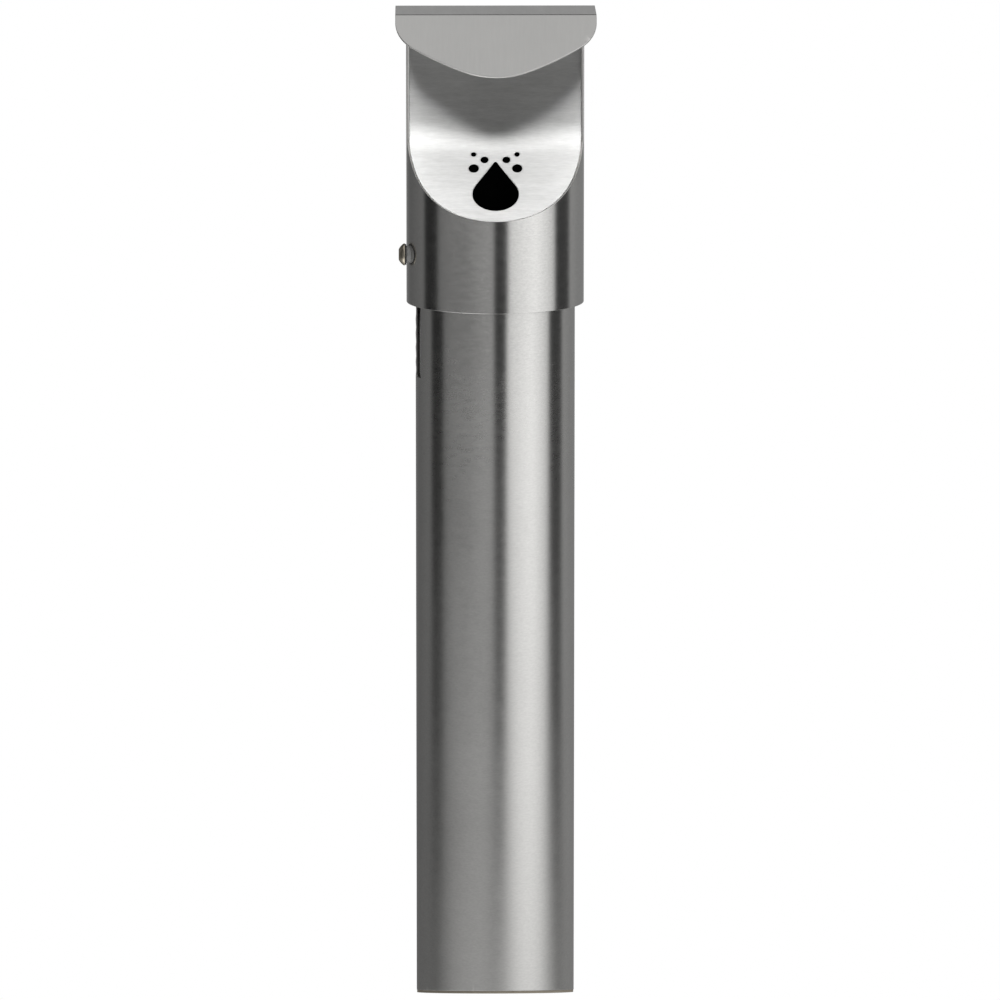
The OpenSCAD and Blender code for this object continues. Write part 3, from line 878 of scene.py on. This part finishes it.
def build_world():
    """Panels seen in reflections and light; the camera itself sees plain white."""
    panel_scale = 2.0            # the color ramp holds brightness divided by this
    sky_level, bounce_level, flag_depth = 0.80, 1.7, 0.85
    world = bpy.data.worlds.new("studio")
    scene.world = world
    graph = Graph(world, "ShaderNodeOutputWorld")
    x, y, z = graph.axes(graph.value("ShaderNodeTexCoord", "Generated"))
    azimuth = x.math("ARCTAN2", y * -1.0) * (180 / math.pi)
    elevation = z.math("ARCSINE") * (180 / math.pi)

    ramp = graph.node("ShaderNodeValToRGB")
    elements = ramp.color_ramp.elements
    ramp.color_ramp.interpolation = "LINEAR"
    while len(elements) > 1:
        elements.remove(elements[-1])
    for i, (angle, level) in enumerate(PANELS):
        position = (angle + 180) / 360
        element = elements[0] if i == 0 else elements.new(position)
        element.position = position
        element.color = (level / panel_scale,) * 3 + (1,)
    graph.feed(ramp.inputs[0], azimuth.ramp(start=-180, end=180))
    band = Value(graph, ramp.outputs[0]) * panel_scale
    high = elevation.fade(start=35, end=60)
    sky = band * (1.0 - high) + high * sky_level

    # light thrown back by the floor on the left
    bounce = elevation.fade(start=-24, end=-44) * azimuth.fade(start=-125, end=-75)
    bounce = bounce * azimuth.fade(start=-6, end=-30)
    sky = sky + bounce * bounce_level
    # dark flag behind and above the hood, seen as a line along its bend
    flag = elevation.fade(start=17, end=24) * elevation.fade(start=62, end=50)
    flag = flag * azimuth.math("ABSOLUTE").fade(start=115, end=130)
    sky = sky * (1.0 - flag * flag_depth)

    lit = graph.node("ShaderNodeBackground", {"Strength": sky})
    seen = graph.node("ShaderNodeBackground", {"Color": (1, 1, 1, 1)})
    mix = graph.node("ShaderNodeMixShader", {
        0: graph.value("ShaderNodeLightPath", "Is Camera Ray"),
        1: lit.outputs[0], 2: seen.outputs[0]})
    graph.feed(graph.output.inputs["Surface"], mix.outputs[0])


def build_floor():
    """Pale floor well below the piece: white to the camera, see-through from below."""
    half, z = 12.0, -1.35
    mesh = bpy.data.meshes.new("studio_floor")
    mesh.from_pydata([(-half, -half, z), (half, -half, z), (half, half, z), (-half, half, z)],
                     [], [(0, 1, 2, 3)])
    floor = linked("studio_floor", mesh)
    material = bpy.data.materials.new("pale_floor")
    graph = Graph(material)
    diffuse = graph.node("ShaderNodeBsdfDiffuse", {"Color": (0.9, 0.9, 0.9, 1)})
    white = graph.node("ShaderNodeEmission", {"Strength": 1.0})
    top = graph.node("ShaderNodeMixShader", {
        0: graph.value("ShaderNodeLightPath", "Is Camera Ray"),
        1: diffuse.outputs[0], 2: white.outputs[0]})
    both = graph.node("ShaderNodeMixShader", {
        0: graph.value("ShaderNodeNewGeometry", "Backfacing"),
        1: top.outputs[0], 2: graph.value("ShaderNodeBsdfTransparent", 0)})
    graph.feed(graph.output.inputs["Surface"], both.outputs[0])
    mesh.materials.append(material)
    floor.visible_glossy = False
    floor.visible_shadow = False


def aim(obj, target):
    obj.rotation_euler = (Vector(target) - obj.location).to_track_quat("-Z", "Y").to_euler()


def soft_box(name, location, target, *, width, height, watts):
    lamp = bpy.data.lights.new(name, "AREA")
    lamp.shape, lamp.size, lamp.size_y, lamp.energy = "RECTANGLE", width, height, watts
    box = linked(name, lamp)
    box.location = location
    aim(box, target)
    return box


def build_lights():
    """Key box from the front right, and three boxes that light only the snuffing plate."""
    key = soft_box("key_box", (2.2, -2.6, 2.4), (0, 0, -0.2), width=1.6, height=1.6, watts=18.0)
    key.visible_glossy = False

    receivers = bpy.data.collections.new("plate_light_receivers")
    receivers.objects.link(snuffing_plate)
    distance = 1.5
    # name, elevation and azimuth in degrees, watts, width, height
    for name, elevation, azimuth, watts, width, height in (
            ("plate_box_left", 33.5, -9.5, 7.3, 0.2, 0.16),
            ("plate_box_right", 33.5, 7.5, 6.0, 0.2, 0.16),
            ("plate_box_high", 57, -2, 5.8, 0.8, 0.5)):
        e, a = rad(elevation), rad(azimuth)
        place = Vector((math.sin(a) * math.cos(e), -math.cos(a) * math.cos(e), math.sin(e)))
        box = soft_box(name, place * distance, (0, 0, 0), width=width, height=height,
                       watts=watts)
        box.visible_camera = False
        box.light_linking.receiver_collection = receivers


def build_camera():
    """Long lens almost straight in front and slightly above."""
    lens = bpy.data.cameras.new("camera")
    lens.lens, lens.sensor_width = 286.4, 36.0
    lens.shift_x, lens.shift_y = 0.0044, 0.020
    lens.clip_start, lens.clip_end = 0.1, 60.0
    camera = linked("camera", lens)
    camera.location = (-0.0474, -5.0, 0.6799)
    aim(camera, (0, -0.030, -0.203))
    scene.camera = camera


build_world()
build_floor()
build_lights()
build_camera()
scene.view_settings.view_transform = "Standard"
scene.view_settings.look = "None"
